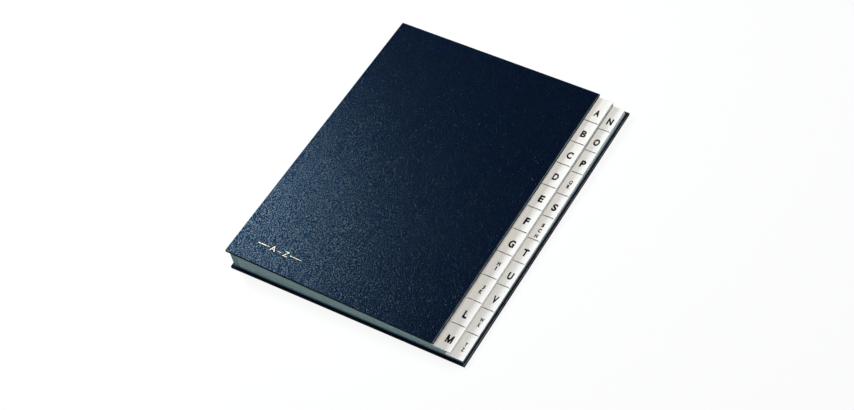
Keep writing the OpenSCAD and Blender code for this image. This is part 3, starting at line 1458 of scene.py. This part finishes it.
@dataclass
class TabPrint:
    """What is printed on one leaf's tab: its letters, and a thin dark rule along the lower end that is a
    painted shadow of the step down to the next tab.
    """

    leaf: int
    single: Lettering = field(default_factory=lambda: Lettering(weight=0.062))
    group: Lettering = field(default_factory=lambda: Lettering(weight=0.07))
    single_cap: float = 8.9
    group_cap: float = 4.8
    pitches: tuple[float, ...] = (0.0, 6.0, 7.1)
    drops: tuple[float, ...] = (1.9, 0.5, 2.8)
    rule_w: float = 0.55
    shadow_rule_stop: float = 1.4

    def build(self) -> Piece:
        """Sets the letters, draws the painted-shadow rule and joins them into one print.

        Returns:
            The print, in the frame, on its label.
        """
        words = PLAN.letters[self.leaf]
        left, right = PLAN.tab_span(self.leaf)
        tail = PLAN.tab_tail(self.leaf)
        middle = (left + right) / 2
        centre = tail + PLAN.tab_l / 2 - self.drops[len(words) - 1]
        setter, cap = (self.group, self.group_cap) if words[1:] else (self.single, self.single_cap)
        pitch = self.pitches[len(words) - 1]
        top = (len(words) - 1) * pitch / 2
        parts = [self.letter(setter, word, cap, top - step * pitch) for step, word in enumerate(words)]
        # the rule is painted shadow where this tab steps down to the next one
        if tail > PLAN.leaf_tail:
            lower = tail + PLAN.label_inset - centre
            stop = right - self.shadow_rule_stop - middle
            rule = flat_bar(left - middle, stop, lower, self.rule_w, self.single.thick)
            STEP_SHADOW_INK.wear_on(rule)
            parts.append(rule)
        made = join_pieces(parts)
        made.name = made.data.name = f"print_{words.lower()}"
        slope = math.atan((PLAN.label_z(self.leaf, left) - PLAN.label_z(self.leaf, right)) / (right - left))
        turn = Matrix.Rotation(slope, 4, "Y")
        settle(made, into_frame(turn, (middle, centre, PLAN.label_z(self.leaf, middle))))
        return made

    def letter(self, setter: Lettering, word: str, cap: float, y: float) -> Piece:
        """Sets one letter in ink.

        Args:
            setter: how the letter is set.
            word: the letter.
            cap: its height in millimetres.
            y: its place along the tab.

        Returns:
            The letter.
        """
        made = setter.glyphs(word, cap)
        made.data.transform(Matrix.Translation((0.0, y, 0.0)))
        INK.wear_on(made)
        return made

    def dress(self, obj: Piece) -> None:
        """Lets the print ride on its leaf."""
        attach(obj, leaf_body(self.leaf))
        LOG.info("%s rides on %s", obj.name, leaf_body(self.leaf))


@dataclass
class FoilMark:
    """A plain gold mark at the front cover's lower left: the span of the index between two short rules."""

    words: str = "A – Z"
    cap: float = 6.0
    centre_x: float = 50.0
    centre_y: float = 24.0
    rule_l: float = 13.0
    rule_w: float = 0.6
    gap: float = 12.5
    thick: float = 0.03

    def build(self) -> Piece:
        """Sets the mark on the front cover's outside face.

        Returns:
            The mark, in the frame.
        """
        parts = [Lettering(weight=0.0, thick=self.thick).glyphs(self.words, self.cap)]
        for start in (-self.gap - self.rule_l, self.gap):
            parts.append(flat_bar(start, start + self.rule_l, -self.rule_w / 2, self.rule_w, self.thick))
        made = join_pieces(parts)
        made.name = made.data.name = "foil_mark"
        turn = Matrix.Rotation(PLAN.tilt, 4, "Y")
        top = Matrix.Translation((self.centre_x, self.centre_y - PLAN.front_tail, PLAN.lined_t))
        settle(made, into_frame(turn @ top, (0.0, PLAN.front_tail, PLAN.front_z(0.0))))
        return made

    def dress(self, obj: Piece) -> None:
        """Gilds the mark and lets it ride on the front cover.

        Args:
            obj: the mark.
        """
        FOIL.wear_on(obj)
        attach(obj, Cover.FRONT.value)
        LOG.info("%s rides on %s", obj.name, Cover.FRONT.value)


@dataclass
class IndexBlock:
    """The leaves, labels, boards and linings, whose CAD shapes are right and take finishes."""

    nodes: dict[str, Piece]

    def dress(self) -> None:
        """Gives every CAD node that shows, and those inside, its finish."""
        for leaf, words in enumerate(PLAN.letters):
            card_finish(PLAN.column(leaf), CARD_ORDER[leaf]).wear_on(self.nodes[f"divider_{words.lower()}"])
            LABELS[PLAN.column(leaf)].wear_on(self.nodes[f"tab_{words.lower()}"])
        GREYBOARD.wear_on(self.nodes["back_board"], self.nodes["front_board"])
        LINING.wear_on(self.nodes["back_lining"], self.nodes["front_lining"])
        for cover in Cover:
            cover_finish(cover).wear_on(self.nodes[f"{cover.name.lower()}_leatherette"])
        CLOTH.wear_on(self.nodes["spine_cloth_lower"], self.nodes["spine_cloth_upper"])
        LOG.info("%d CAD nodes finished", len(self.nodes))


@dataclass(frozen=True)
class Lamp:
    """A soft lamp aimed at the middle of the sorter.

    Its size is a softbox's side in metres, or a fill's angle in radians.
    """

    name: str
    place: Point
    size: float
    power: float
    kind: LampKind = LampKind.SOFTBOX
    colour: Colour = (1.0, 1.0, 1.0)

    def build(self) -> None:
        """Adds the lamp, unseen by the camera; a fill makes no highlights either."""
        data = bpy.data.lights.new(self.name, self.kind.value)
        data.energy, data.color = self.power, self.colour
        if self.kind is LampKind.SOFTBOX:
            data.shape, data.size = "SQUARE", self.size
        else:
            data.angle = self.size
        lamp = bpy.data.objects.new(self.name, data)
        bpy.context.scene.collection.objects.link(lamp)
        lamp.location = self.place
        lamp.rotation_mode = "QUATERNION"
        lamp.rotation_quaternion = (-Vector(self.place)).to_track_quat("-Z", "Y")
        lamp.visible_camera = False
        lamp.visible_glossy = self.kind is LampKind.SOFTBOX


@dataclass
class Studio:
    """Pale floor, soft lamps, a surround that is pale at the horizon, and the camera."""

    floor_half: float = 9.0
    azimuth: float = 40.851
    elevation: float = 50.614
    roll: float = 12.759
    distance: float = 1644.979
    slide: tuple[float, float] = (-6.129, -19.815)
    focal_px: float = 1624.575
    aim: Point = (120.0, 170.0, 0.0)
    image_w: float = 854.0
    sensor_w: float = 36.0
    clip: tuple[float, float] = (0.01, 100.0)
    floor_grey: float = 0.9
    floor_glow: float = 0.8
    horizon: tuple[float, ...] = (0.02, 0.3, 0.9, 0.02)

    def build(self) -> None:
        """Sets the whole stage."""
        self.floor()
        self.surround()
        for lamp in (
            Lamp("side_softbox", (-0.582, 0.083, 0.544), 0.25, 5.2, colour=(0.84, 0.93, 1.0)),
            Lamp("front_fill", (0.75, -0.65, 1.5), math.radians(55.0), 2.52, LampKind.FILL),
            Lamp("edge_light", (0.62, 0.5, 0.62), 0.3, 0.5),
        ):
            lamp.build()
        self.camera()
        bpy.context.scene.view_settings.view_transform = "Standard"

    def floor(self) -> None:
        """Lays a pale floor that keeps the sorter's shadow."""
        bpy.ops.object.select_all(action="DESELECT")
        bpy.ops.mesh.primitive_plane_add(size=2 * self.floor_half, location=(0.0, 0.0, 0.0))
        floor = bpy.context.active_object
        floor.name = floor.data.name = "studio_floor"
        made = bpy.data.materials.new("studio_floor")
        graph = Graph.fresh(made)
        matte = graph.feed(graph.node("BsdfDiffuse"), Color=(self.floor_grey,) * 3)
        glow = graph.feed(graph.node("Emission"), Color=(1.0, 1.0, 1.0), Strength=1.0)
        path = graph.node("LightPath").outputs
        seen = graph.math("MAXIMUM", path["Is Camera Ray"], path["Is Glossy Ray"])
        seen = graph.math("MAXIMUM", seen, path["Is Transmission Ray"])
        both = graph.node("MixShader")
        parts = (graph.math("MULTIPLY", seen, self.floor_glow), matte.outputs[0], glow.outputs[0])
        for part, socket in zip(parts, both.inputs):
            graph.join(part, socket)
        graph.join(both.outputs[0], graph.node("OutputMaterial").inputs["Surface"])
        floor.data.materials.append(made)

    def surround(self) -> None:
        """Makes the world pale at the horizon and dark overhead."""
        world = bpy.data.worlds.new("studio_surround")
        bpy.context.scene.world = world
        graph = Graph.fresh(world)
        rise = graph.axes(graph.node("TexCoord").outputs["Generated"])["Z"]
        pale = graph.ramp(rise, *self.horizon)
        light = graph.feed(graph.node("Background"), Color=(1.0, 1.0, 1.0), Strength=pale)
        graph.join(light.outputs[0], graph.node("OutputWorld").inputs["Surface"])

    def camera(self) -> None:
        """Stands the camera where the object was seen from."""
        a, e, roll = (math.radians(v) for v in (self.azimuth, self.elevation, self.roll))
        forward = -Vector((math.sin(a) * math.cos(e), -math.cos(a) * math.cos(e), math.sin(e)))
        right = forward.cross(Vector((0.0, 0.0, 1.0))).normalized()
        down = forward.cross(right)
        right, down = (
            math.cos(roll) * right + math.sin(roll) * down,
            math.cos(roll) * down - math.sin(roll) * right,
        )
        stand = Vector(self.aim) - self.slide[0] * right - self.slide[1] * down - self.distance * forward
        data = bpy.data.cameras.new("camera")
        data.sensor_width = self.sensor_w
        data.lens = self.focal_px / self.image_w * self.sensor_w
        data.clip_start, data.clip_end = self.clip
        camera = bpy.data.objects.new("camera", data)
        bpy.context.scene.collection.objects.link(camera)
        turn = Matrix((right, -down, -forward)).transposed()
        camera.matrix_world = Matrix.Translation(into_frame() @ stand) @ turn.to_4x4()
        bpy.context.scene.camera = camera


def main() -> None:
    """Builds the sorter's classes in order and reports each piece."""
    logging.basicConfig(level=logging.INFO, format="%(name)s: %(message)s")
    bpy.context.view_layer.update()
    Studio().build()
    IndexBlock(frame["nodes"]).dress()
    for wrap in (
        CoverWrap(Cover.BACK, PLAN.back_w, PLAN.back_l),
        CoverWrap(Cover.FRONT, PLAN.front_w, PLAN.front_l),
    ):
        wrap.dress(wrap.build())
    SpineCloth().build()
    for leaf in range(len(PLAN.letters)):
        tab = TabPrint(leaf)
        tab.dress(tab.build())
    mark = FoilMark()
    mark.dress(mark.build())


if __name__ == "__main__":
    main()
